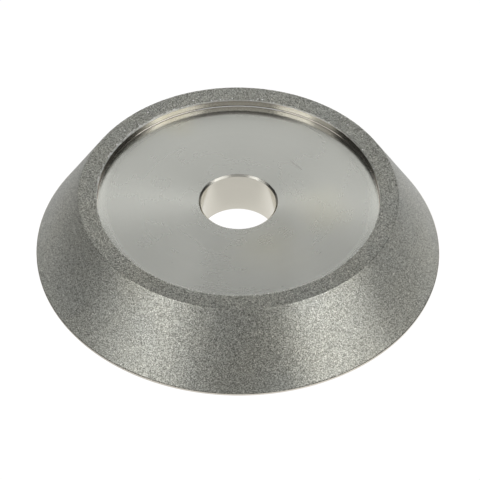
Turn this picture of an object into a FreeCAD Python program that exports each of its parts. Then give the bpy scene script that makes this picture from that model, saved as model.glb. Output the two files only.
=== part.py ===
import FreeCAD, Part
import Sketcher
import math
import os

# Conical grinding wheel for sharpening drills.
# Row frame, millimetres: the origin is the centre of the base face, +Z runs
# up the wheel's axis towards the narrow end with the gritted rim.
# Two pieces: the turned steel body, and the single layer of grit that is
# plated over its flank and over its rim.

os.makedirs("parts", exist_ok=True)

doc = FreeCAD.newDocument("grinding_wheel")

# ---------------------------------------------------------------- dimensions
sheet = doc.addObject("Spreadsheet::Sheet", "Dimensions")
DIMS = [
    ("outer_diameter", 108.0, "widest diameter, at the base"),
    ("overall_height", 20.0, "base face to the top of the gritted rim"),
    ("land_height", 0.6, "bare cylindrical land at the base edge"),
    ("base_break", 0.1, "edge break round the foot of the land"),
    ("rim_outer_diameter", 84.8, "where the flank meets the flat rim"),
    ("rim_inner_diameter", 75.0, "lip of the clamping recess"),
    ("layer_thickness", 0.15, "grit and plating, square to the surface"),
    ("rim_round", 0.3, "rounding where the flank meets the rim"),
    ("lip_round", 0.08, "rounding of the layer at the lip"),
    ("recess_depth", 2.5, "clamping recess, below the rim"),
    ("recess_corner", 0.25, "tool radius between recess wall and floor"),
    ("bore_diameter", 20.0, "spindle bore"),
    ("bore_chamfer", 0.5, "45 degree chamfer at the upper end of the bore"),
    ("bore_break", 0.1, "edge break at the lower end of the bore"),
    ("hub_thickness", 12.5, "recess floor to the seat under the hub"),
    ("seat_diameter", 60.0, "recess under the hub, for the spindle flange"),
    ("seat_corner", 1.0, "tool radius in the lower recess"),
    ("seat_chamfer", 0.5, "chamfer at the mouth of the lower recess"),
]
dim = {}
sheet.set("A1", "dimension")
sheet.set("B1", "value")
sheet.set("C1", "meaning")
for row, (alias, value, meaning) in enumerate(DIMS, start=2):
    sheet.set("A%d" % row, alias)
    sheet.set("B%d" % row, repr(value))
    sheet.set("C%d" % row, meaning)
    sheet.setAlias("B%d" % row, alias)
    dim[alias] = value
doc.recompute()

D = "Dimensions."
R_BASE = D + "outer_diameter / 2"
R_RIM = D + "rim_outer_diameter / 2"
R_LIP = D + "rim_inner_diameter / 2"
R_BORE = D + "bore_diameter / 2"
R_SEAT = D + "seat_diameter / 2"
Z_TOP = D + "overall_height"
Z_LAND = D + "land_height"
Z_STEEL = D + "overall_height - " + D + "layer_thickness"
Z_FLOOR = D + "overall_height - " + D + "recess_depth"
Z_SEAT = (D + "overall_height - " + D + "recess_depth - "
          + D + "hub_thickness")
RUN = "(" + R_BASE + " - " + R_RIM + ")"
RISE = "(" + Z_TOP + " - " + Z_LAND + ")"
# horizontal distance between the steel flank and the gritted flank, which
# are parallel and one layer thickness apart
STEP = (D + "layer_thickness * sqrt(" + RUN + " * " + RUN + " + "
        + RISE + " * " + RISE + ") / " + RISE)
R_LEDGE = R_BASE + " - " + STEP
R_STEEL_RIM = (R_RIM + " + " + D + "layer_thickness * " + RUN + " / " + RISE
               + " - " + STEP)


def value_of(expression):
    """Number that an expression over the sheet has now."""
    total = sheet.evalExpression(expression)
    try:
        return float(total)
    except TypeError:
        return float(total.Value)


def plane_of(body, role):
    for feature in body.Origin.OriginFeatures:
        if feature.Role == role:
            return feature
    raise RuntimeError("no plane " + role)


def new_body(label):
    body = doc.addObject("PartDesign::Body", label)
    body.Label = label
    body.Placement = FreeCAD.Placement()
    return body


def new_sketch(body, name, role):
    sketch = body.newObject("Sketcher::SketchObject", name)
    sketch.AttachmentSupport = [(plane_of(body, role), "")]
    sketch.MapMode = "FlatFace"
    return sketch


def closed_profile(sketch, corners):
    """Closed polygon through corners, each a pair of expressions (r, z).

    Sides with equal expressions are held upright or level, and every other
    coordinate is a dimension bound to the sheet. "0" is on the axis or on
    the base plane.
    """
    count = len(corners)
    spots = [(value_of(r) if r != "0" else 0.0,
              value_of(z) if z != "0" else 0.0) for r, z in corners]
    for i in range(count):
        a, b = spots[i], spots[(i + 1) % count]
        sketch.addGeometry(Part.LineSegment(
            FreeCAD.Vector(a[0], a[1], 0), FreeCAD.Vector(b[0], b[1], 0)),
            False)
    for i in range(count):
        sketch.addConstraint(Sketcher.Constraint(
            "Coincident", i, 2, (i + 1) % count, 1))
    done_r, done_z = set(), set()
    for i in range(count):
        j = (i + 1) % count
        # the last side closes the ring of level or upright sides
        if corners[i][0] == corners[j][0] and not (i in done_r and
                                                   j in done_r):
            sketch.addConstraint(Sketcher.Constraint("Vertical", i))
            if i not in done_r:
                dimension(sketch, i, 0, corners[i][0], spots[i][0])
            done_r.update((i, j))
        if corners[i][1] == corners[j][1] and not (i in done_z and
                                                   j in done_z):
            sketch.addConstraint(Sketcher.Constraint("Horizontal", i))
            if i not in done_z:
                dimension(sketch, i, 1, corners[i][1], spots[i][1])
            done_z.update((i, j))
    for i in range(count):
        if i not in done_r:
            dimension(sketch, i, 0, corners[i][0], spots[i][0])
        if i not in done_z:
            dimension(sketch, i, 1, corners[i][1], spots[i][1])
    doc.recompute()
    if not sketch.FullyConstrained:
        raise RuntimeError(sketch.Name + " is not fully constrained")


def dimension(sketch, vertex, direction, expression, number):
    """Hold one coordinate of a vertex at an expression over the sheet."""
    if expression == "0":
        axis = -2 if direction == 0 else -1
        sketch.addConstraint(Sketcher.Constraint(
            "PointOnObject", vertex, 1, axis))
        return
    kind = "DistanceX" if direction == 0 else "DistanceY"
    index = sketch.addConstraint(Sketcher.Constraint(
        kind, -1, 1, vertex, 1, number))
    sketch.setExpression("Constraints[%d]" % index, expression)


def revolve(body, name, sketch, cut=False):
    kind = "PartDesign::Groove" if cut else "PartDesign::Revolution"
    feature = body.newObject(kind, name)
    feature.Profile = sketch
    feature.ReferenceAxis = (sketch, ["V_Axis"])
    feature.Angle = 360.0
    sketch.Visibility = False
    doc.recompute()
    return feature


def rings_at(feature, radius, height):
    """Names of the full circles of one radius at one height."""
    found = []
    for number, edge in enumerate(feature.Shape.Edges, start=1):
        curve = edge.Curve
        if not isinstance(curve, Part.Circle):
            continue
        if (abs(curve.Radius - radius) < 1e-4
                and abs(curve.Center.z - height) < 1e-4):
            found.append("Edge%d" % number)
    if not found:
        raise RuntimeError("no ring r=%.3f z=%.3f" % (radius, height))
    return found


def dress(body, name, kind, base, spots, size):
    """Chamfer or fillet the rings at spots, sized by one cell."""
    edges = []
    for radius, height in spots:
        edges += rings_at(base, radius, height)
    feature = body.newObject(kind, name)
    feature.Base = (base, edges)
    prop = "Radius" if kind.endswith("Fillet") else "Size"
    setattr(feature, prop, value_of(D + size))
    feature.setExpression(prop, D + size)
    base.Visibility = False
    doc.recompute()
    return feature


def expect_less(label, before, after, wanted):
    """A cut must take away about the volume that it should."""
    taken = before - after
    if abs(taken - wanted) > 0.02 * wanted + 0.05:
        raise RuntimeError("%s took %.2f mm3, wanted %.2f"
                           % (label, taken, wanted))
    print("%s takes %.1f mm3" % (label, taken))


r_base = dim["outer_diameter"] / 2
r_rim = dim["rim_outer_diameter"] / 2
r_lip = dim["rim_inner_diameter"] / 2
r_bore = dim["bore_diameter"] / 2
r_seat = dim["seat_diameter"] / 2
z_top = dim["overall_height"]
z_floor = z_top - dim["recess_depth"]
z_seat = z_floor - dim["hub_thickness"]
z_steel = z_top - dim["layer_thickness"]

# ---------------------------------------------------------------- steel body
wheel_body = new_body("wheel_body")

# Turned blank: a low cone with a short cylindrical land at its foot. Above
# the land the flank is set in by the layer, which then comes up flush.
blank_sketch = new_sketch(wheel_body, "BlankProfile", "XZ_Plane")
closed_profile(blank_sketch, [
    ("0", "0"),
    (R_BASE, "0"),
    (R_BASE, Z_LAND),
    (R_LEDGE, Z_LAND),
    (R_STEEL_RIM, Z_STEEL),
    ("0", Z_STEEL),
])
blank = revolve(wheel_body, "Blank", blank_sketch)
volume = blank.Shape.Volume

# Shallow clamping recess in the narrow end. Its floor is the face that the
# clamping washer bears on.
recess_sketch = new_sketch(wheel_body, "RecessProfile", "XZ_Plane")
closed_profile(recess_sketch, [
    ("0", Z_FLOOR),
    (R_LIP, Z_FLOOR),
    (R_LIP, Z_TOP),
    ("0", Z_TOP),
])
recess = revolve(wheel_body, "ClampRecess", recess_sketch, cut=True)
expect_less("clamping recess", volume, recess.Shape.Volume,
            math.pi * r_lip ** 2 * (z_steel - z_floor))
volume = recess.Shape.Volume

# Recess under the hub. Its floor is the seat on the spindle's flange.
seat_sketch = new_sketch(wheel_body, "SeatProfile", "XZ_Plane")
closed_profile(seat_sketch, [
    ("0", "0"),
    (R_SEAT, "0"),
    (R_SEAT, Z_SEAT),
    ("0", Z_SEAT),
])
seat = revolve(wheel_body, "FlangeSeat", seat_sketch, cut=True)
expect_less("flange seat", volume, seat.Shape.Volume,
            math.pi * r_seat ** 2 * z_seat)
volume = seat.Shape.Volume

# Spindle bore, right through the hub.
bore_sketch = new_sketch(wheel_body, "BoreCircle", "XY_Plane")
bore_sketch.addGeometry(Part.Circle(
    FreeCAD.Vector(0, 0, 0), FreeCAD.Vector(0, 0, 1), r_bore), False)
bore_sketch.addConstraint(Sketcher.Constraint("Coincident", 0, 3, -1, 1))
bore_index = bore_sketch.addConstraint(
    Sketcher.Constraint("Radius", 0, r_bore))
bore_sketch.setExpression("Constraints[%d]" % bore_index, R_BORE)
doc.recompute()
bore = wheel_body.newObject("PartDesign::Pocket", "SpindleBore")
bore.Profile = bore_sketch
bore.Type = "ThroughAll"
bore.Reversed = True
bore_sketch.Visibility = False
doc.recompute()
expect_less("spindle bore", volume, bore.Shape.Volume,
            math.pi * r_bore ** 2 * dim["hub_thickness"])

# Chamfers at the top of the bore and at the mouth of the lower recess, the
# break at the bottom of the bore, tool radii in the corners of both recesses,
# and the break at the foot.
bore_top = dress(wheel_body, "BoreChamfer", "PartDesign::Chamfer", bore,
                 [(r_bore, z_floor)], "bore_chamfer")
bore_foot = dress(wheel_body, "BoreBreak", "PartDesign::Chamfer", bore_top,
                  [(r_bore, z_seat)], "bore_break")
seat_mouth = dress(wheel_body, "SeatMouth", "PartDesign::Chamfer", bore_foot,
                   [(r_seat, 0.0)], "seat_chamfer")
seat_corner = dress(wheel_body, "SeatCorner", "PartDesign::Fillet",
                    seat_mouth, [(r_seat, z_seat)], "seat_corner")
recess_corner = dress(wheel_body, "RecessCorner", "PartDesign::Fillet",
                      seat_corner, [(r_lip, z_floor)], "recess_corner")
foot_break = dress(wheel_body, "FootBreak", "PartDesign::Chamfer",
                   recess_corner, [(r_base, 0.0)], "base_break")

# --------------------------------------------------------------- grit layer
diamond_layer = new_body("diamond_layer")

# Thin bent ring: down the flank to the land, and over the rim to the lip.
layer_sketch = new_sketch(diamond_layer, "LayerProfile", "XZ_Plane")
closed_profile(layer_sketch, [
    (R_LEDGE, Z_LAND),
    (R_BASE, Z_LAND),
    (R_RIM, Z_TOP),
    (R_LIP, Z_TOP),
    (R_LIP, Z_STEEL),
    (R_STEEL_RIM, Z_STEEL),
])
layer = revolve(diamond_layer, "Layer", layer_sketch)
rim_round = dress(diamond_layer, "RimRound", "PartDesign::Fillet", layer,
                  [(r_rim, z_top)], "rim_round")
lip_round = dress(diamond_layer, "LipRound", "PartDesign::Fillet", rim_round,
                  [(r_lip, z_top)], "lip_round")

# -------------------------------------------------------------------- checks
doc.recompute()
for item in doc.Objects:
    for state in item.State:
        if state in ("Invalid", "Error"):
            raise RuntimeError(item.Name + " is " + state)

pieces = [wheel_body, diamond_layer]
for piece in pieces:
    shape = piece.Shape
    if shape.isNull() or not shape.isValid():
        raise RuntimeError(piece.Label + " has no valid shape")
    if len(shape.Solids) != 1:
        raise RuntimeError(piece.Label + " is not one solid")
    box = shape.BoundBox
    print("%s volume %.1f mm3, box %.3f %.3f %.3f to %.3f %.3f %.3f" % (
        piece.Label, shape.Volume, box.XMin, box.YMin, box.ZMin,
        box.XMax, box.YMax, box.ZMax))

for piece in pieces:
    piece.Shape.exportStep("parts/" + piece.Label + ".step")
    print("wrote parts/" + piece.Label + ".step")
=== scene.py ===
import math

import bpy
import numpy as np
from mathutils import Matrix, Vector


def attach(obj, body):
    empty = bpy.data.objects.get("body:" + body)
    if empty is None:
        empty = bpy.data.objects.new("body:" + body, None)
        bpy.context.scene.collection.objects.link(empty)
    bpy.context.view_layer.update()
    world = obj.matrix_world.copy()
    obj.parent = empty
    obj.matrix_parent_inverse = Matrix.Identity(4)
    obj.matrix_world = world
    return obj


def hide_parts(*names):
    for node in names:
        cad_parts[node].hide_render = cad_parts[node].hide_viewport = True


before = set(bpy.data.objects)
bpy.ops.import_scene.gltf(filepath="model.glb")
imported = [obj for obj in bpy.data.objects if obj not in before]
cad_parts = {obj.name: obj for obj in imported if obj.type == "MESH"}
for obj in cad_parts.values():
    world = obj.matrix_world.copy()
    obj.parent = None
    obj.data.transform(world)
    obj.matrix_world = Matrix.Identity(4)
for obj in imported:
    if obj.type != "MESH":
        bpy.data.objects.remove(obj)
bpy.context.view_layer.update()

MM = 0.001
rng = np.random.default_rng(20)

# ------------------------------------------------------------------ sizes, mm
R_BASE = 54.0
R_RIM = 42.4
R_LIP = 37.5
R_BORE = 10.0
R_SEAT = 30.0
Z_TOP = 20.0
Z_LAND = 0.6
Z_FLOOR = 17.5
Z_SEAT = 5.0
LAYER = 0.15
SLANT = math.hypot(R_BASE - R_RIM, Z_TOP - Z_LAND)
FLANK_N = ((Z_TOP - Z_LAND) / SLANT, (R_BASE - R_RIM) / SLANT)
STEP = LAYER / FLANK_N[0]


# --------------------------------------------------------------------- camera
def add_camera():
    """A long lens from the front, a little under 45 degrees up."""
    dist, elev = 0.90036, 0.778458
    focal_px = 3353.6
    pan = 0.000763 - 0.5 / focal_px
    tilt = 0.002331 + 0.5 / focal_px
    roll = 0.009007
    place = Vector((0.0, -dist * math.cos(elev), dist * math.sin(elev)))
    fw = Vector((0.0, math.cos(elev), -math.sin(elev)))
    rt = Vector((1.0, 0.0, 0.0))
    up = rt.cross(fw)
    fw, rt = (fw * math.cos(pan) + rt * math.sin(pan),
              rt * math.cos(pan) - fw * math.sin(pan))
    fw, up = (fw * math.cos(tilt) + up * math.sin(tilt),
              up * math.cos(tilt) - fw * math.sin(tilt))
    rt, up = (rt * math.cos(roll) + up * math.sin(roll),
              up * math.cos(roll) - rt * math.sin(roll))
    data = bpy.data.cameras.new("camera")
    data.sensor_width = 36.0
    data.lens = focal_px / 480.0 * 36.0
    data.clip_start = 0.01
    data.clip_end = 50.0
    cam = bpy.data.objects.new("camera", data)
    bpy.context.scene.collection.objects.link(cam)
    m = Matrix((rt, up, -fw)).transposed().to_4x4()
    m.translation = place
    cam.matrix_world = m
    bpy.context.scene.camera = cam


add_camera()


# ----------------------------------------------------------------- node tools
class Nodes:
    """Short hand for building one material's nodes."""

    def __init__(self, name):
        self.mat = bpy.data.materials.new(name)
        self.mat.use_nodes = True
        self.tree = self.mat.node_tree
        self.tree.nodes.clear()
        self.out = self.tree.nodes.new("ShaderNodeOutputMaterial")
        self.bsdf = self.tree.nodes.new("ShaderNodeBsdfPrincipled")
        self.tree.links.new(self.bsdf.outputs[0], self.out.inputs["Surface"])
        self.coord = self.tree.nodes.new("ShaderNodeTexCoord")

    def link(self, a, b):
        self.tree.links.new(a, b)

    def put(self, socket, value):
        if isinstance(value, bpy.types.NodeSocket):
            self.link(value, socket)
        else:
            socket.default_value = value

    def math(self, op, a, b=0.0, c=0.0, clamp=False):
        n = self.tree.nodes.new("ShaderNodeMath")
        n.operation = op
        n.use_clamp = clamp
        self.put(n.inputs[0], a)
        self.put(n.inputs[1], b)
        if op in ("MULTIPLY_ADD", "WRAP", "SMOOTH_MIN", "SMOOTH_MAX",
                  "COMPARE"):
            self.put(n.inputs[2], c)
        return n.outputs[0]

    def noise(self, scale, detail=2.0, rough=0.5, vector=None, out="Fac"):
        n = self.tree.nodes.new("ShaderNodeTexNoise")
        n.inputs["Scale"].default_value = scale
        n.inputs["Detail"].default_value = detail
        n.inputs["Roughness"].default_value = rough
        self.link(vector or self.coord.outputs["Object"], n.inputs["Vector"])
        return n.outputs[out]

    def cells(self, scale, vector=None, feature="F1", out="Color"):
        n = self.tree.nodes.new("ShaderNodeTexVoronoi")
        n.feature = feature
        n.inputs["Scale"].default_value = scale
        self.link(vector or self.coord.outputs["Object"], n.inputs["Vector"])
        return n.outputs[out]

    def ramp(self, fac, stops):
        n = self.tree.nodes.new("ShaderNodeValToRGB")
        while len(n.color_ramp.elements) < len(stops):
            n.color_ramp.elements.new(0.5)
        for element, (pos, col) in zip(n.color_ramp.elements, stops):
            element.position = pos
            element.color = (*col, 1.0) if len(col) == 3 else col
        self.link(fac, n.inputs[0])
        return n.outputs[0]

    def spread(self, value, lo, hi, to_lo=0.0, to_hi=1.0, smooth=False):
        n = self.tree.nodes.new("ShaderNodeMapRange")
        n.interpolation_type = "SMOOTHSTEP" if smooth else "LINEAR"
        n.clamp = True
        self.put(n.inputs["Value"], value)
        n.inputs["From Min"].default_value = lo
        n.inputs["From Max"].default_value = hi
        n.inputs["To Min"].default_value = to_lo
        n.inputs["To Max"].default_value = to_hi
        return n.outputs[0]

    def mix(self, fac, a, b, blend="MIX"):
        n = self.tree.nodes.new("ShaderNodeMix")
        n.data_type = "RGBA"
        n.blend_type = blend
        self.put(n.inputs[0], fac)
        for socket, value in ((n.inputs[6], a), (n.inputs[7], b)):
            if isinstance(value, tuple) and len(value) == 3:
                value = (*value, 1.0)
            self.put(socket, value)
        return n.outputs[2]

    def bump(self, height, strength, distance, normal=None):
        n = self.tree.nodes.new("ShaderNodeBump")
        n.inputs["Strength"].default_value = strength
        n.inputs["Distance"].default_value = distance
        self.link(height, n.inputs["Height"])
        if normal is not None:
            self.link(normal, n.inputs["Normal"])
        return n.outputs[0]

    def xyz(self):
        n = self.tree.nodes.new("ShaderNodeSeparateXYZ")
        self.link(self.coord.outputs["Object"], n.inputs[0])
        return n.outputs

    def radius(self):
        x, y, _ = self.xyz()
        return self.math("SQRT", self.math(
            "ADD", self.math("MULTIPLY", x, x), self.math("MULTIPLY", y, y)))


# ------------------------------------------------------------------ materials
GRAIN_SCALE = 6300.0
GRAIN_PITCH = 5600.0
GRIT = (0.09, 0.26, 0.53, 0.90)
GRIT_ROUGH = (0.28, 0.42)
GRIT_BUMP = 0.15
BAND = 0.014
RIM_ROUGH = 0.08
RIM_CONTRAST = 0.16


def grit_material():
    """Fine diamond grit in nickel: grey, matte and full of tiny glints."""
    g = Nodes("plated_grit")
    # one colour, one gloss and one height for each grain
    grain = g.tree.nodes.new("ShaderNodeSeparateColor")
    g.link(g.cells(GRAIN_SCALE), grain.inputs[0])
    fine = g.spread(g.noise(GRAIN_PITCH, 0.0, 0.5), 0.24, 0.76)
    clump = g.noise(850.0, 3.0, 0.55)
    cloud = g.noise(60.0, 3.0, 0.5)
    value = g.math("ADD", g.math("MULTIPLY", grain.outputs[0], 0.55),
                   g.math("MULTIPLY", fine, 0.45))
    # the grains stand out more on the flat rim
    rim = g.spread(g.xyz()[2], 0.0196, 0.0199, 0.0, 1.0, True)
    value = g.math("ADD", value, g.math(
        "MULTIPLY", g.math("SUBTRACT", value, 0.5),
        g.math("MULTIPLY", rim, RIM_CONTRAST)))
    value = g.math("ADD", value, g.math(
        "MULTIPLY", g.math("SUBTRACT", clump, 0.5), 0.10))
    colour = g.ramp(value, [
        (0.12, tuple(GRIT[0] * v for v in (1.0, 1.005, 0.900))),
        (0.40, tuple(GRIT[1] * v for v in (1.0, 1.005, 0.900))),
        (0.65, tuple(GRIT[2] * v for v in (1.0, 1.003, 0.910))),
        (0.92, tuple(GRIT[3] * v for v in (1.0, 1.000, 0.930))),
    ])
    tint = g.ramp(cloud, [
        (0.30, (0.965, 0.975, 0.985)),
        (0.70, (1.000, 0.990, 0.960)),
    ])
    colour = g.mix(1.0, colour, tint, "MULTIPLY")
    # painted light: the rim's colour is made a little brighter at the front and
    # a trace darker at the back, standing in for how the light falls on it
    rim_front_painted_light = g.math("MULTIPLY", rim, g.spread(
        g.xyz()[1], -0.012, 0.026, 0.13, -0.025, True))
    n = g.tree.nodes.new("ShaderNodeVectorMath")
    n.operation = "SCALE"
    g.link(colour, n.inputs[0])
    g.link(g.math("ADD", rim_front_painted_light, 1.0), n.inputs["Scale"])
    colour = n.outputs[0]
    g.link(colour, g.bsdf.inputs["Base Color"])
    g.bsdf.inputs["Metallic"].default_value = 0.95
    rough = g.spread(g.math("ADD", g.math("MULTIPLY", grain.outputs[1], 0.7),
                            g.math("MULTIPLY", fine, 0.3)),
                     0.0, 1.0, GRIT_ROUGH[0], GRIT_ROUGH[1])
    # the flat rim has worn rougher than the flank
    rough = g.math("ADD", rough, g.math("MULTIPLY", rim, RIM_ROUGH))
    g.link(rough, g.bsdf.inputs["Roughness"])
    height = g.math("ADD", g.math("MULTIPLY", grain.outputs[2], 0.5),
                    g.math("MULTIPLY", fine, 0.5))
    g.link(g.bump(height, GRIT_BUMP, 0.00005), g.bsdf.inputs["Normal"])
    return g.mat


def steel_material(name, colour, rough, aniso=0.0, marks="rings",
                   mark_pitch=0.32, mark_height=1.0e-6, wear_and_painted_light=False,
                   metal=1.0, lumps=0.0, painted_corner_at=0.0,
                   mottle=False):
    """Turned nickel-bright steel."""
    g = Nodes(name)
    r = g.radius()
    x, y, z = g.xyz()
    along = r if marks == "rings" else z
    # tool marks: fine waves of uneven height along the cut
    wobble = g.noise(14.0, 2.0, 0.5)
    phase = g.math("ADD", g.math("MULTIPLY", along,
                                 2.0 * math.pi / (mark_pitch * MM)),
                   g.math("MULTIPLY", wobble, 3.0))
    wave = g.math("SINE", phase)
    # slower bands of tone, one radius at a time
    combine = g.tree.nodes.new("ShaderNodeCombineXYZ")
    g.link(along, combine.inputs[0])
    bands = g.noise(420.0, 4.0, 0.6, vector=combine.outputs[0])
    stain = g.noise(55.0, 4.0, 0.55)
    speck = g.noise(1500.0, 3.0, 0.6)
    tone = g.math("ADD", g.spread(bands, 0.25, 0.75, -BAND, BAND),
                  g.spread(stain, 0.3, 0.7, -0.025, 0.025))
    tone = g.math("ADD", tone, g.spread(speck, 0.3, 0.7, -0.006, 0.006))
    tone = g.math("ADD", tone, 1.0)
    n = g.tree.nodes.new("ShaderNodeVectorMath")
    n.operation = "SCALE"
    n.inputs[0].default_value = colour
    g.link(tone, n.inputs["Scale"])
    base = n.outputs[0]
    if mottle:
        # plating here and there over dull grit, most of it at the left
        patch = g.spread(g.noise(950.0, 3.0, 0.6), 0.34, 0.56)
        side = g.math("ADD", g.spread(x, -0.034, 0.0, 1.0, 0.15),
                      g.spread(x, 0.004, 0.034, 0.0, 0.40))
        base = g.mix(g.math("MULTIPLY", patch, side, clamp=True),
                     (0.70, 0.69, 0.65), base)
    if painted_corner_at:
        # painted shadow: a fine dark line on the wall just above the floor,
        # standing in for the shade in the corner
        zz = g.math("ADD", z, g.math("MULTIPLY", g.math(
            "SUBTRACT", g.noise(90.0, 2.0, 0.5), 0.5), 0.00012))
        off = g.math("ABSOLUTE", g.math("SUBTRACT", zz, painted_corner_at * MM))
        line = g.spread(off, 0.00007, 0.00017, 0.80, 0.0, True)
        base = g.mix(line, base, tuple(0.16 * c for c in colour))
        # painted highlight: below it the corner is made pale and less metallic,
        # most of all at the back, standing in for light caught in the rounding
        painted_corner_highlight = g.math("MULTIPLY", g.spread(
            z, (painted_corner_at - 0.14) * MM, (painted_corner_at - 0.10) * MM, 1.0, 0.0, True),
            g.spread(z, 0.0, painted_corner_at * MM - 0.004, 0.0, 1.0))
        painted_corner_highlight = g.math("MULTIPLY", painted_corner_highlight, g.math("MULTIPLY", g.spread(
            g.math("ABSOLUTE", x), 0.0095, 0.0135, 1.0, 0.0, True),
            g.spread(y, 0.0, 0.010)))
        base = g.mix(painted_corner_highlight, base, (0.97, 0.96, 0.94))
        metal = g.math("SUBTRACT", metal, g.math("MULTIPLY", painted_corner_highlight, 0.75))
    rough_v = g.math("ADD", rough,
                     g.spread(bands, 0.25, 0.75, -BAND, BAND))
    rough_v = g.math("ADD", rough_v,
                     g.spread(stain, 0.3, 0.7, -0.03, 0.03))
    # on the turned face: a finer cut, a scratch and stains, and also a painted
    # reflection and painted side light
    if wear_and_painted_light:
        # the cut is finer in the last millimetres before the wall
        rough_v = g.math("ADD", rough_v,
                         g.spread(r, 0.0342, 0.0366, 0.0, -0.06, True))
        # painted reflection: at the back the floor is made darker and a little
        # smoother just before the wall, standing in for the dark wall seen in
        # it
        painted_wall_reflection = g.math("MULTIPLY",
                      g.spread(r, 0.0337, 0.0347, 0.0, 1.0, True),
                      g.spread(r, 0.0352, 0.0359, 1.0, 0.0, True))
        painted_wall_reflection = g.math("MULTIPLY", painted_wall_reflection, g.math(
            "MULTIPLY", g.spread(g.math("ABSOLUTE", x), 0.009, 0.019,
                                 1.0, 0.10, True),
            g.spread(y, 0.015, 0.028, 0.0, 1.0, True)))
        rough_v = g.math("ADD", rough_v, g.math("MULTIPLY", painted_wall_reflection, -0.06))
        base = g.mix(g.math("MULTIPLY", painted_wall_reflection, 0.75), base,
                     (0.16, 0.145, 0.125))
        # painted light: the front half is made a shade lighter towards the
        # sides, standing in for the light it reflects there
        side = g.math("ADD",
                      g.spread(x, -0.015, -0.004, 0.12, 0.0, True),
                      g.spread(x, 0.011, 0.019, 0.0, 0.09, True))
        side = g.math("MULTIPLY", side, g.spread(
            y, -0.008, 0.009, 1.0, 0.0, True))
        painted_side_light = g.tree.nodes.new("ShaderNodeVectorMath")
        painted_side_light.operation = "SCALE"
        g.link(base, painted_side_light.inputs[0])
        g.link(g.math("ADD", side, 1.0), painted_side_light.inputs["Scale"])
        base = painted_side_light.outputs[0]
        # one short light scuff across the turned face
        ax, ay, bx, by = 0.0139, 0.01597, 0.01683, 0.01249
        dx, dy = bx - ax, by - ay
        length = math.hypot(dx, dy)
        ux, uy = dx / length, dy / length
        px = g.math("SUBTRACT", x, ax)
        py = g.math("SUBTRACT", y, ay)
        s = g.math("ADD", g.math("MULTIPLY", px, ux),
                   g.math("MULTIPLY", py, uy))
        t = g.math("SUBTRACT", g.math("MULTIPLY", px, uy),
                   g.math("MULTIPLY", py, ux))
        t = g.math("ADD", t, g.math("MULTIPLY", g.math(
            "SUBTRACT", g.noise(400.0, 2.0, 0.5), 0.5), 0.0003))
        inside = g.math("MULTIPLY",
                        g.spread(s, -0.0006, 0.0006, 0.0, 1.0, True),
                        g.spread(s, length - 0.0010, length + 0.0010,
                                 1.0, 0.0, True))
        line = g.spread(g.math("ABSOLUTE", t), 0.0, 0.00042,
                        1.0, 0.0, True)
        mark = g.math("MULTIPLY", inside, line)
        base = g.mix(g.math("MULTIPLY", mark, 0.20), base,
                     (0.40, 0.39, 0.37))
        # faint warm stains
        warm = None
        for cx, cy, wide in ((0.022, -0.003, 0.013), (0.008, -0.017, 0.014),
                             (-0.017, 0.031, 0.009)):
            dx = g.math("SUBTRACT", x, cx)
            dy = g.math("SUBTRACT", y, cy)
            far = g.math("SQRT", g.math("ADD", g.math("MULTIPLY", dx, dx),
                                        g.math("MULTIPLY", dy, dy)))
            far = g.math("ADD", far, g.math("MULTIPLY", g.math(
                "SUBTRACT", g.noise(110.0, 3.0, 0.5), 0.5), 0.010))
            spot = g.spread(far, 0.0, wide, 1.0, 0.0, True)
            warm = spot if warm is None else g.math("ADD", warm, spot,
                                                    clamp=True)
        base = g.mix(warm, base, g.mix(1.0, base, (1.0, 0.985, 0.935),
                                       "MULTIPLY"))
        rough_v = g.math("ADD", rough_v, g.math("MULTIPLY", mark, 0.05))
    g.link(base, g.bsdf.inputs["Base Color"])
    g.link(rough_v, g.bsdf.inputs["Roughness"])
    g.put(g.bsdf.inputs["Metallic"], metal)
    if aniso:
        g.bsdf.inputs["Anisotropic"].default_value = aniso
        g.bsdf.inputs["Anisotropic Rotation"].default_value = 0.25
        t = g.tree.nodes.new("ShaderNodeTangent")
        t.direction_type = "RADIAL"
        t.axis = "Z"
        g.link(t.outputs[0], g.bsdf.inputs["Tangent"])
    height = g.math("ADD", g.math("MULTIPLY", wave, 0.5),
                    g.math("MULTIPLY", bands, 1.5))
    shaped = g.bump(height, 1.0, mark_height)
    if lumps:
        shaped = g.bump(g.noise(2600.0, 2.0, 0.55), 1.0, lumps * 4.0, shaped)
    g.link(shaped, g.bsdf.inputs["Normal"])
    return g.mat


# --------------------------------------------------------------- mesh helpers
def ring_mesh(name, rr, zz, turn):
    """Closed solid from rings. rr and zz are (rings, around) in mm, the
    rings follow the section counter-clockwise as seen with r to the right
    and z up."""
    m, n = rr.shape
    x = rr * np.cos(turn)[None, :]
    y = rr * np.sin(turn)[None, :]
    co = np.stack([x, y, zz], -1).reshape(-1, 3) * MM
    i = np.arange(m)[:, None]
    j = np.arange(n)[None, :]
    i2, j2 = (i + 1) % m, (j + 1) % n
    quads = np.stack([i * n + j, i * n + j2, i2 * n + j2, i2 * n + j],
                     -1).reshape(-1, 4)
    return solid_mesh(name, co, quads)


def solid_mesh(name, co, quads):
    mesh = bpy.data.meshes.new(name)
    mesh.vertices.add(len(co))
    mesh.vertices.foreach_set("co", co.astype(np.float32).ravel())
    mesh.loops.add(quads.size)
    mesh.loops.foreach_set("vertex_index", quads.astype(np.int32).ravel())
    mesh.polygons.add(len(quads))
    mesh.polygons.foreach_set(
        "loop_start", np.arange(0, quads.size, 4, dtype=np.int32))
    mesh.polygons.foreach_set(
        "use_smooth", np.ones(len(quads), dtype=bool))
    mesh.update(calc_edges=True)
    mesh.validate()
    obj = bpy.data.objects.new(name, mesh)
    bpy.context.scene.collection.objects.link(obj)
    return obj


def set_uv(obj, uv):
    """Give the piece its map, one place per corner of each face."""
    layer = obj.data.uv_layers.new(name="OFBake")
    layer.data.foreach_set("uv", uv.astype(np.float32).ravel())


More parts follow.
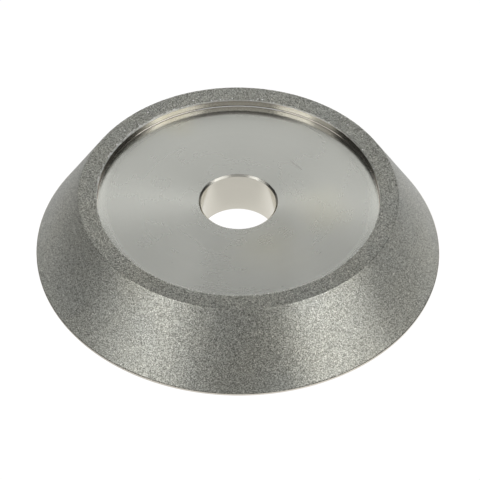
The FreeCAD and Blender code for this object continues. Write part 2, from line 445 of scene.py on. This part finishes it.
def arc(centre, radius, a0, a1, count):
    """Points on an arc in the section, angles in degrees."""
    return [(centre[0] + radius * math.cos(math.radians(a)),
             centre[1] + radius * math.sin(math.radians(a)))
            for a in np.linspace(a0, a1, count)]


def span(a, b, count, tight=0.03):
    """Points between a and b with one held close to each end, so that the
    rounding beside it keeps its own shading."""
    length = math.hypot(b[0] - a[0], b[1] - a[1])
    ts = [tight / length] + list(np.linspace(0, 1, count + 2)[1:-1]) + [
        1 - tight / length]
    return [(a[0] + (b[0] - a[0]) * t, a[1] + (b[1] - a[1]) * t) for t in ts]


def corner(before, at, after, radius, count=4):
    """Round the corner at between two straight sides."""
    a = np.array(before, float) - at
    b = np.array(after, float) - at
    a /= np.linalg.norm(a)
    b /= np.linalg.norm(b)
    half = math.acos(max(-1, min(1, float(a @ b)))) / 2
    back = radius / math.tan(half)
    mid = (a + b) / np.linalg.norm(a + b)
    c = np.array(at) + mid * radius / math.sin(half)
    p0 = np.array(at) + a * back
    p1 = np.array(at) + b * back
    a0 = math.atan2(*(p0 - c)[::-1])
    a1 = math.atan2(*(p1 - c)[::-1])
    d = (a1 - a0 + math.pi) % (2 * math.pi) - math.pi
    return [(c[0] + radius * math.cos(a0 + d * t),
             c[1] + radius * math.sin(a0 + d * t))
            for t in np.linspace(0, 1, count)]


# ----------------------------------------------------------------- steel body
def body_section(r_ledge, r_srim, z_st, rise):
    """The body's section: its points and the zone of each."""
    # corners, counter-clockwise: point, rounding, zone, rows up to it
    spots = [
        ((R_BORE + 0.1, Z_SEAT), 0.02, "chamfer_low", 1),
        ((R_SEAT, Z_SEAT), 1.0, "under", 10),
        ((R_SEAT, 0.5), 0.06, "under", 3),
        ((R_SEAT + 0.5, 0.0), 0.06, "under", 1),
        ((R_BASE - 0.1, 0.0), 0.04, "under", 10),
        ((R_BASE, 0.1), 0.04, "land", 1),
        ((R_BASE, Z_LAND), 0.03, "land", 2),
        ((r_ledge, Z_LAND), 0.03, "land", 1),
        ((r_srim, z_st), 0.03, "hidden", 6),
        ((R_LIP + 0.06, z_st), 0.02, "hidden", 3),
        ((R_LIP - 0.03, 19.35), 0.60, "wall", 3),
        ((R_LIP - 0.03, Z_FLOOR + rise), 0.20, "wall", 8),
        ((35.6, Z_FLOOR + rise), 7.0, "floor", 3),
        ((34.6, Z_FLOOR), 7.0, "floor", 2),
        ((10.5, Z_FLOOR), 0.05, "floor", 22),
        ((R_BORE, 17.0), 0.05, "chamfer", 2),
        ((R_BORE, Z_SEAT + 0.1), 0.02, "bore", 12),
    ]
    count = len(spots)
    points, zones = [], []
    for k in range(count):
        at, radius, zone, rows = spots[k]
        before = spots[k - 1][0]
        after = spots[(k + 1) % count][0]
        here = corner(before, at, after, radius, 7 if radius > 0.2 else 4)
        if points:
            points += span(points[-1], here[0], rows)
            zones += [zone] * (rows + 2)
        points += here
        zones += [zone] * len(here)
    points += span(points[-1], points[0], spots[0][3])
    zones += ["chamfer_low"] * (spots[0][3] + 2)
    return points, zones


def build_body():
    """The turned steel body, with every edge a little broken."""
    r_ledge = R_BASE - STEP
    r_srim = R_RIM + LAYER * (R_BASE - R_RIM) / (Z_TOP - Z_LAND) - STEP
    z_st = Z_TOP - LAYER
    # the floor rises a trace before the wall, at the back only
    made = [body_section(r_ledge, r_srim, z_st, rise)
            for rise in (0.012, 0.06)]
    points, zones = made[0]
    n = 480
    turn = np.linspace(0, 2 * math.pi, n, endpoint=False)
    off = (np.degrees(turn) - 90 + 180) % 360 - 180
    back = np.clip((48.0 - np.abs(off)) / 24.0, 0.0, 1.0)
    back = back * back * (3.0 - 2.0 * back)
    low, high = np.array(made[0][0]), np.array(made[1][0])
    pts = low
    rr = low[:, 0:1] + (high - low)[:, 0:1] * back[None, :]
    zz = low[:, 1:2] + (high - low)[:, 1:2] * back[None, :]
    obj = ring_mesh("turned_body", rr, zz, turn)

    mats = [
        # the turned face carries a painted reflection near the wall and painted
        # side light besides its scratch and stains
        steel_material("turned_face", (0.705, 0.712, 0.660), 0.28, 0.80,
                       "rings", 0.30, 0.25e-6, wear_and_painted_light=True),
        # the wall carries a painted shadow line and a painted highlight in its
        # corner
        steel_material("turned_wall", (0.865, 0.815, 0.733), 0.16, 0.0,
                       "lines", 0.55, 1.0e-6, painted_corner_at=17.80),
        steel_material("ground_bore", (0.620, 0.594, 0.524), 0.20, 0.0,
                       "lines", 0.40, 0.5e-6),
        steel_material("cut_chamfer", (0.705, 0.690, 0.620), 0.25, 0.0,
                       "lines", 0.25, 0.5e-6),
        steel_material("turned_under", (0.600, 0.592, 0.560), 0.34, 0.35,
                       "rings", 0.40, 2.0e-6),
    ]
    index = {"floor": 0, "wall": 1, "hidden": 1, "land": 1, "bore": 2,
             "chamfer": 3, "chamfer_low": 3, "under": 4}
    for mat in mats:
        obj.data.materials.append(mat)
    m = len(points)
    # a face between two rings takes the zone of the later ring
    per_ring = np.array([index[zones[(i + 1) % m]] for i in range(m)])
    obj.data.polygons.foreach_set(
        "material_index", np.repeat(per_ring, n).astype(np.int32))

    # the faces seen from above and below as discs, the rest as strips
    after = np.roll(pts, -1, 0)
    step = np.abs(after - pts)
    zone = [zones[(i + 1) % m] for i in range(m)]
    group = []
    for i in range(m):
        if zone[i] == "floor":
            group.append("top")
        elif zone[i] == "under" and step[i, 0] > step[i, 1]:
            group.append("base")
        elif zone[i] in ("chamfer_low", "bore", "chamfer"):
            group.append("bore")
        else:
            group.append(zone[i])
    strips = {"bore": (0.565, 0.25), "wall": (0.825, 0.05),
              "land": (0.885, 0.02), "hidden": (0.915, 0.01),
              "under": (0.935, 0.045)}
    x = pts[:, 0:1] * np.cos(turn)[None, :]
    y = pts[:, 0:1] * np.sin(turn)[None, :]
    j2 = (np.arange(n) + 1) % n
    uv = np.empty((m, n, 4, 2))
    left = 0.01 + 0.98 * np.arange(n) / n
    used = {name: 0.0 for name in strips}
    total = {name: sum(float(np.hypot(*step[i])) for i in range(m)
                       if group[i] == name) for name in strips}
    for i in range(m):
        i2 = (i + 1) % m
        if group[i] in ("top", "base"):
            centre, scale = ((0.280, 0.280), 0.272 / 37.5) if (
                group[i] == "top") else ((0.785, 0.225), 0.212 / 54.0)
            for c, (ring, turned) in enumerate(
                    ((i, None), (i, j2), (i2, j2), (i2, None))):
                px = x[ring] if turned is None else x[ring][turned]
                py = y[ring] if turned is None else y[ring][turned]
                uv[i, :, c, 0] = centre[0] + scale * px
                uv[i, :, c, 1] = centre[1] + scale * py
        else:
            low, tall = strips[group[i]]
            a = low + tall * used[group[i]] / total[group[i]]
            used[group[i]] += float(np.hypot(*step[i]))
            b = low + tall * used[group[i]] / total[group[i]]
            uv[i, :, 0, 0] = uv[i, :, 3, 0] = left
            uv[i, :, 1, 0] = uv[i, :, 2, 0] = left + 0.98 / n
            uv[i, :, 0, 1] = uv[i, :, 1, 1] = a
            uv[i, :, 2, 1] = uv[i, :, 3, 1] = b
    set_uv(obj, uv)
    return obj


# ----------------------------------------------------------------- grit layer
def build_layer():
    """The plated grit: a thin closed ring, with its grains in the surface."""
    n = 900
    turn = np.linspace(0, 2 * math.pi, n, endpoint=False)
    sink = 0.040  # mean surface below the highest grains
    nr, nz = FLANK_N
    foot = np.array((R_BASE - 0.02, Z_LAND + 0.01))
    rim = np.array((R_RIM - sink * 0.4, Z_TOP - sink))
    lip = np.array((R_LIP + 0.02, Z_TOP - sink))
    # flank line moved in by the sink
    foot = foot - np.array((nr, nz)) * sink
    bend = corner(tuple(foot), rim, tuple(lip), 0.12, 5)
    flank = [tuple(foot + (np.array(bend[0]) - foot) * t)
             for t in np.linspace(0, 1, 68)[:-1]]
    top = [tuple(np.array(bend[-1]) + (lip - np.array(bend[-1])) * t)
           for t in np.linspace(0, 1, 16)[1:-1]]
    lip_round = corner(tuple(bend[-1]), lip, (lip[0], Z_TOP - LAYER), 0.07, 4)
    outer = flank + bend + top + lip_round
    # plating that crept a little way down the recess wall
    depth = 0.34 * np.ones(n)
    thick = 0.085 * np.ones(n)
    for az, wide, deep in ((143, 30, 0.26), (35, 22, 0.12), (100, 16, 0.06)):
        off = (np.degrees(turn) - az + 180) % 360 - 180
        depth += deep * np.exp(-0.5 * (off / wide) ** 2)
    for f, a in ((5, 0.03), (13, 0.03), (29, 0.03), (57, 0.035), (97, 0.03),
                 (173, 0.025)):
        depth += a * np.sin(f * turn + rng.uniform(0, 6.28))
        thick += 0.25 * a * np.sin(f * turn + rng.uniform(0, 6.28))
    thick = np.clip(thick, 0.04, 0.13)
    skirt = (0.12, 0.35, 0.60, 0.82, 0.95)
    z_skirt = lip_round[-1][1]
    r_ledge = R_BASE - STEP
    r_srim = R_RIM + LAYER * (R_BASE - R_RIM) / (Z_TOP - Z_LAND) - STEP
    inner = [(R_LIP + 0.06, Z_TOP - 0.35),
             (R_LIP + 0.06, Z_TOP - LAYER + 0.01),
             (40.0, Z_TOP - LAYER + 0.01),
             (r_srim + 0.005, Z_TOP - LAYER + 0.005),
             (0.5 * (r_srim + r_ledge) + 0.005,
              0.5 * (Z_TOP - LAYER + Z_LAND)),
             (r_ledge + 0.01, Z_LAND + 0.01)]
    hang = [(lip[0] - 0.085 * t, z_skirt - 0.34 * t) for t in skirt]
    hang.append((R_LIP + 0.04, z_skirt - 0.34))
    pts = np.array(outer + hang + inner)
    k = len(outer)
    h = k + len(hang)
    rr = np.repeat(pts[:, 0:1], n, 1)
    zz = np.repeat(pts[:, 1:2], n, 1)
    # outward direction of each ring
    nxt, prv = np.roll(pts, -1, 0), np.roll(pts, 1, 0)
    t = nxt - prv
    t /= np.linalg.norm(t, axis=1)[:, None]
    normal = np.stack([t[:, 1], -t[:, 0]], -1)
    # grains: uncorrelated heights with a few clumps, none on hidden rings
    grain = rng.normal(0.0, 1.0, (k, n))
    soft = (grain + 0.35 * (np.roll(grain, 1, 1) + np.roll(grain, -1, 1)))
    soft[1:-1] += 0.35 * (grain[2:] + grain[:-2])
    soft /= soft.std()
    height = np.clip(soft * 0.006, -0.020, 0.020)
    fade = np.ones(k)
    fade[0] = 0.15
    fade[1] = 0.7
    fade[-4:] = (0.8, 0.7, 0.5, 0.3)
    height *= fade[:, None]
    # the lip: plating built up unevenly, so its line wavers
    wave = np.zeros(n)
    for f, a in ((7, 0.012), (19, 0.020), (41, 0.024), (83, 0.026),
                 (151, 0.024)):
        wave += a * np.sin(f * turn + rng.uniform(0, 6.28))
    off = (np.degrees(turn) - 143 + 180) % 360 - 180
    wave *= 1.0 + 1.6 * np.exp(-(off / 24.0) ** 2)
    wave = np.clip(wave, -0.04, 0.16)
    lipward = np.zeros(k)
    lipward[-7:] = (0.1, 0.25, 0.5, 0.8, 1.0, 1.0, 1.0)
    rr[:k] += normal[:k, 0:1] * height
    zz[:k] += normal[:k, 1:2] * height
    rr[:k] -= lipward[:, None] * wave[None, :]
    for i, t in enumerate(skirt):
        lump = rng.normal(0.0, 1.0, n)
        lump = (lump + np.roll(lump, 1) + np.roll(lump, -1)) * 0.004
        rr[k + i] = lip[0] - wave * (1 - t) - thick * t - lump
        zz[k + i] = z_skirt - depth * t
    zz[h - 1] = z_skirt - depth
    zz[h] = z_skirt - depth + 0.02
    np.clip(zz, None, Z_TOP, out=zz)
    np.clip(rr, None, R_BASE, out=rr)
    obj = ring_mesh("grit_coat", rr, zz, turn)
    obj.data.materials.append(grit_material())
    obj.data.materials.append(steel_material(
        "plated_lip", (0.93, 0.925, 0.90), 0.36, 0.0, "lines", 0.2, 1.0e-6,
        metal=0.50, lumps=9.0e-6, mottle=True))
    m = len(pts)
    slot = np.zeros((m, n), dtype=np.int32)
    slot[k - 1:h] = 1
    # at the left the bare plating comes up over the edge, here and there
    ragged = sum(np.sin(f * turn + rng.uniform(0, 6.28))
                 for f in (23, 47, 101, 190))
    bare = (np.abs(off) < 27.0 + 2.0 * ragged) & (ragged > -1.2)
    slot[k - 4:k - 1, bare] = 1
    slot[k - 5:k - 4, bare & (ragged > 0.6)] = 1
    obj.data.polygons.foreach_set("material_index", slot.ravel())
    # three strips side by side, with the hidden side squeezed thin
    run = np.linalg.norm(np.roll(pts, -1, 0) - pts, axis=1)
    run[h:] = 0.1
    run[h - 1] = 0.1
    place = np.concatenate([[0.0], np.cumsum(run)])
    place = 0.31 * place / place[-1]
    third = n // 3
    strip = np.arange(n) // third
    left = 0.01 + 0.98 * (np.arange(n) % third) / third
    right = left + 0.98 / third
    low = 0.01 + 0.33 * strip
    uv = np.empty((m, n, 4, 2))
    uv[:, :, 0, 0] = uv[:, :, 3, 0] = left
    uv[:, :, 1, 0] = uv[:, :, 2, 0] = right
    uv[:, :, 0, 1] = uv[:, :, 1, 1] = low + place[:-1, None]
    uv[:, :, 2, 1] = uv[:, :, 3, 1] = low + place[1:, None]
    set_uv(obj, uv)
    return obj


# -------------------------------------------------------------------- nodules
def build_nodules():
    """Small bright beads of plating along the lip, and a few on the rim."""
    import bmesh
    bm = bmesh.new()
    beads = []
    # along the lip, denser at the back and the left
    for _ in range(640):
        az = rng.uniform(0, 2 * math.pi)
        weight = 0.22 + 0.78 * max(0.0, math.cos(az - math.radians(128))) ** 2
        if rng.uniform() > weight:
            continue
        size = 0.06 + 0.13 * rng.uniform() ** 2
        inward = 0.02 + 0.09 * math.exp(-(math.degrees(az) / 24.0
                                          - 143.0 / 24.0) ** 2)
        beads.append((az, R_LIP - inward + rng.normal(0.0, 0.05),
                      Z_TOP - 0.02 - abs(rng.normal(0.0, 0.07)), size))
    # a few on the rim itself
    for _ in range(60):
        az = rng.uniform(0, 2 * math.pi)
        weight = 0.15 + 0.85 * max(0.0, math.cos(az - math.radians(120)))
        if rng.uniform() > weight:
            continue
        size = rng.uniform(0.05, 0.10)
        beads.append((az, rng.uniform(37.8, 41.5),
                      Z_TOP - 0.01 - size * 0.25, size))
    for az, r, size in ((127.7, 40.4, 0.17), (141.5, 39.4, 0.21),
                        (149.8, 37.8, 0.22), (155.8, 37.6, 0.16),
                        (108.7, 38.9, 0.19), (97.8, 37.8, 0.17),
                        (92.9, 37.9, 0.17), (82.3, 38.1, 0.20),
                        (80.4, 38.0, 0.16), (49.6, 37.5, 0.19),
                        (43.4, 40.3, 0.15), (28.3, 37.7, 0.16),
                        (101.5, 37.7, 0.14), (135.0, 38.3, 0.14),
                        (146.5, 38.0, 0.15), (163.0, 37.7, 0.13),
                        (118.0, 37.7, 0.15), (66.0, 37.6, 0.13)):
        beads.append((math.radians(az), r, Z_TOP - 0.01 - size * 0.25,
                      size * 1.25))
    for az, r, z, size in beads:
        made = bmesh.ops.create_icosphere(
            bm, subdivisions=3 if size > 0.15 else 2, radius=1.0)
        stretch = rng.uniform(0.8, 1.4)
        for v in made["verts"]:
            p = v.co.copy()
            lump = 1.0 + 0.12 * math.sin(5 * p.x + az * 7) * math.cos(
                4 * p.y + az * 3)
            along, out, upw = (-p.x * size * stretch * lump,
                               p.y * size * lump, p.z * size * 0.55 * lump)
            rad = r + out
            zz = min(z + upw, Z_TOP)
            ca, sa = math.cos(az), math.sin(az)
            v.co = Vector(((rad * ca - along * sa) * MM,
                           (rad * sa + along * ca) * MM, zz * MM))
    mesh = bpy.data.meshes.new("plating_beads")
    bm.to_mesh(mesh)
    bm.free()
    for p in mesh.polygons:
        p.use_smooth = True
    obj = bpy.data.objects.new("plating_beads", mesh)
    bpy.context.scene.collection.objects.link(obj)
    mesh.materials.append(steel_material(
        "plating_nodule", (0.97, 0.97, 0.955), 0.40, 0.0, "lines", 0.2, 1.0e-6,
        metal=0.25))
    return obj


body = build_body()
coat = build_layer()
beads = build_nodules()

for piece, node, slot in ((body, "wheel_body", "turned_steel"),
                          (coat, "diamond_layer", "plated_grit")):
    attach(piece, "root")
    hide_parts(node)
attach(beads, "root")


# ------------------------------------------------------------ floor and light
# how bright the floor is for the object, from under the hub outwards
UNDER = 0.95
FLOOR_LEFT = (0.62, 0.50, 0.15, 0.60, 0.80)
FLOOR_RIGHT = (0.78, 0.65, 0.52, 0.62, 0.80)
RINGS = ((0.070, 0.080), (0.110, 0.130), (0.22, 0.28), (0.70, 0.90))
HORIZON, SKY, CEILING = 0.44, 0.02, 0.35


def stage_mesh(name, points, faces):
    mesh = bpy.data.meshes.new(name)
    mesh.from_pydata(points, [], faces)
    obj = bpy.data.objects.new(name, mesh)
    bpy.context.scene.collection.objects.link(obj)
    return obj


def plain(g, value):
    """A matt pale surface with its own even light."""
    g.bsdf.inputs["Base Color"].default_value = (0.02, 0.02, 0.02, 1.0)
    g.bsdf.inputs["Roughness"].default_value = 0.9
    g.bsdf.inputs["Specular IOR Level"].default_value = 0.0
    g.bsdf.inputs["Emission Color"].default_value = (1.0, 1.0, 0.998, 1.0)
    g.put(g.bsdf.inputs["Emission Strength"], value)
    return g.mat


def add_floor():
    """A pale floor and a pale backdrop round it, evenly lit."""
    s = 3.2
    floor = stage_mesh("floor", [(-s, -s, 0), (s, -s, 0), (s, s, 0),
                                 (-s, s, 0)], [(0, 1, 2, 3)])
    floor.location.z = -0.00002
    g = Nodes("floor")
    floor.data.materials.append(plain(
        g, g.spread(g.radius(), 0.30, 2.20, 1.02, 0.86, True)))
    n, rows, r = 64, 10, 3.1
    points, faces = [], []
    for i in range(rows):
        e = 0.5 * math.pi * i / rows
        for j in range(n):
            a = 2 * math.pi * j / n
            points.append((r * math.cos(e) * math.cos(a),
                           r * math.cos(e) * math.sin(a), r * math.sin(e)))
    points.append((0, 0, r))
    for i in range(rows - 1):
        for j in range(n):
            k = (j + 1) % n
            faces.append((i * n + j, i * n + k, (i + 1) * n + k,
                          (i + 1) * n + j))
    for j in range(n):
        faces.append(((rows - 1) * n + j, (rows - 1) * n + (j + 1) % n,
                      rows * n))
    backdrop = stage_mesh("backdrop", points, faces)
    backdrop.location.z = -0.001
    for p in backdrop.data.polygons:
        p.use_smooth = True
    g = Nodes("backdrop")
    backdrop.data.materials.append(plain(
        g, g.spread(g.xyz()[2], 0.0, 1.6, 0.86, 0.74, True)))
    for obj in (floor, backdrop):
        obj.visible_diffuse = False
        obj.visible_glossy = False
        obj.visible_shadow = False


def add_bounce():
    """The light that the floor throws back, ring by ring."""
    s = 6.0
    obj = stage_mesh("bounce", [(-s, -s, 0), (s, -s, 0), (s, s, 0),
                                (-s, s, 0)], [(0, 1, 2, 3)])
    obj.location.z = -0.00004
    obj.visible_camera = False
    g = Nodes("bounce")
    x, y, _ = g.xyz()
    r = g.radius()
    sides = []
    for values in (FLOOR_LEFT, FLOOR_RIGHT):
        light = values[0]
        for (lo, hi), inner, outer in zip(RINGS, values, values[1:]):
            light = g.math("ADD", light, g.spread(
                r, lo, hi, 0.0, outer - inner, True))
        sides.append(light)
    right = g.spread(x, -0.03, 0.03, 0.0, 1.0, True)
    light = g.math("ADD", g.math("MULTIPLY", sides[1], right),
                   g.math("MULTIPLY", sides[0],
                          g.math("SUBTRACT", 1.0, right)))
    under = g.spread(r, 0.030, 0.048, 1.0, 0.0, True)
    light = g.math("ADD", g.math("MULTIPLY", under, UNDER),
                   g.math("MULTIPLY", light,
                          g.math("SUBTRACT", 1.0, under)))
    # under the bore the light falls from the front, so the back is brighter
    hub = g.math("MULTIPLY", g.spread(g.radius(), 0.014, 0.020, 1.0, 0.0, True),
                 g.spread(y, 0.001, 0.010, -0.14, 0.12, True))
    light = g.math("MULTIPLY", light, g.math("ADD", hub, 1.0))
    obj.data.materials.append(plain(g, light))


def add_panel(name, azimuth, elevation, distance, width, height, radiance,
              colour=(1.0, 1.0, 1.0)):
    data = bpy.data.lights.new(name, "AREA")
    data.shape = "RECTANGLE"
    data.size = width
    data.size_y = height
    data.energy = radiance * math.pi * width * height
    data.color = colour
    obj = bpy.data.objects.new(name, data)
    bpy.context.scene.collection.objects.link(obj)
    a, e = math.radians(azimuth), math.radians(elevation)
    place = Vector((math.cos(e) * math.cos(a), math.cos(e) * math.sin(a),
                    math.sin(e))) * distance
    obj.matrix_world = (Matrix.Translation(place)
                        @ place.to_track_quat("Z", "Y").to_matrix().to_4x4())


def add_world():
    world = bpy.data.worlds.new("room")
    bpy.context.scene.world = world
    world.use_nodes = True
    tree = world.node_tree
    tree.nodes.clear()
    out = tree.nodes.new("ShaderNodeOutputWorld")
    bg = tree.nodes.new("ShaderNodeBackground")
    tree.links.new(bg.outputs[0], out.inputs[0])
    coord = tree.nodes.new("ShaderNodeTexCoord")
    sep = tree.nodes.new("ShaderNodeSeparateXYZ")
    tree.links.new(coord.outputs["Generated"], sep.inputs[0])
    parts = []
    for lo, hi, at_lo, at_hi in ((0.03, 0.16, HORIZON - SKY, 0.0),
                                 (0.80, 0.90, SKY, CEILING)):
        ramp = tree.nodes.new("ShaderNodeMapRange")
        ramp.interpolation_type = "SMOOTHSTEP"
        tree.links.new(sep.outputs[2], ramp.inputs["Value"])
        ramp.inputs["From Min"].default_value = lo
        ramp.inputs["From Max"].default_value = hi
        ramp.inputs["To Min"].default_value = at_lo
        ramp.inputs["To Max"].default_value = at_hi
        parts.append(ramp.outputs[0])
    both = tree.nodes.new("ShaderNodeMath")
    both.operation = "ADD"
    tree.links.new(parts[0], both.inputs[0])
    tree.links.new(parts[1], both.inputs[1])
    tree.links.new(both.outputs[0], bg.inputs["Strength"])
    bg.inputs["Color"].default_value = (1.0, 1.0, 1.0, 1.0)


add_floor()
add_bounce()
add_world()
# softboxes left and right, brighter towards their feet
add_panel("right_low", 327, 17, 2.5, 2.04, 0.90, 2.32)
add_panel("right_low_edge", 297, 17, 2.5, 0.61, 0.90, 0.35)
add_panel("right_high", 321, 39, 2.5, 1.53, 0.90, 1.30)
add_panel("right_high_edge", 344, 39, 2.5, 0.53, 0.90, 0.73)
add_panel("right_high_far", 356, 39, 2.5, 0.53, 0.90, 0.11)
add_panel("left_low", 224.5, 17, 2.5, 1.02, 0.90, 2.21)
add_panel("left_low_edge", 243, 17, 2.5, 0.61, 0.90, 0.92)
add_panel("left_low_far", 201.5, 17, 2.5, 1.02, 0.90, 1.28)
add_panel("left_high", 224.5, 39, 2.5, 1.02, 0.90, 1.37)
add_panel("left_high_far", 201.5, 39, 2.5, 1.02, 0.90, 0.49)
# weak light from the front and from the back corners, and a panel behind
# that fades upwards
add_panel("front_low", 270, 20, 2.8, 1.9, 0.9, 0.39)
add_panel("front_high", 270, 44, 2.8, 1.9, 1.1, 0.37)
add_panel("back_left", 133, 24, 2.5, 1.1, 0.70, 0.30)
add_panel("back_right", 47, 24, 2.5, 1.1, 0.70, 0.30)
add_panel("back_low", 90, 18, 0.60, 0.56, 0.126, 1.50)
add_panel("back_mid", 90, 27, 0.60, 0.56, 0.063, 1.22)
add_panel("back_high", 90, 36, 0.60, 0.56, 0.126, 0.80)
add_panel("back_edge", 90, 44, 0.60, 0.56, 0.042, 1.10)

scene = bpy.context.scene
scene.view_settings.view_transform = "Standard"
scene.view_settings.look = "None"
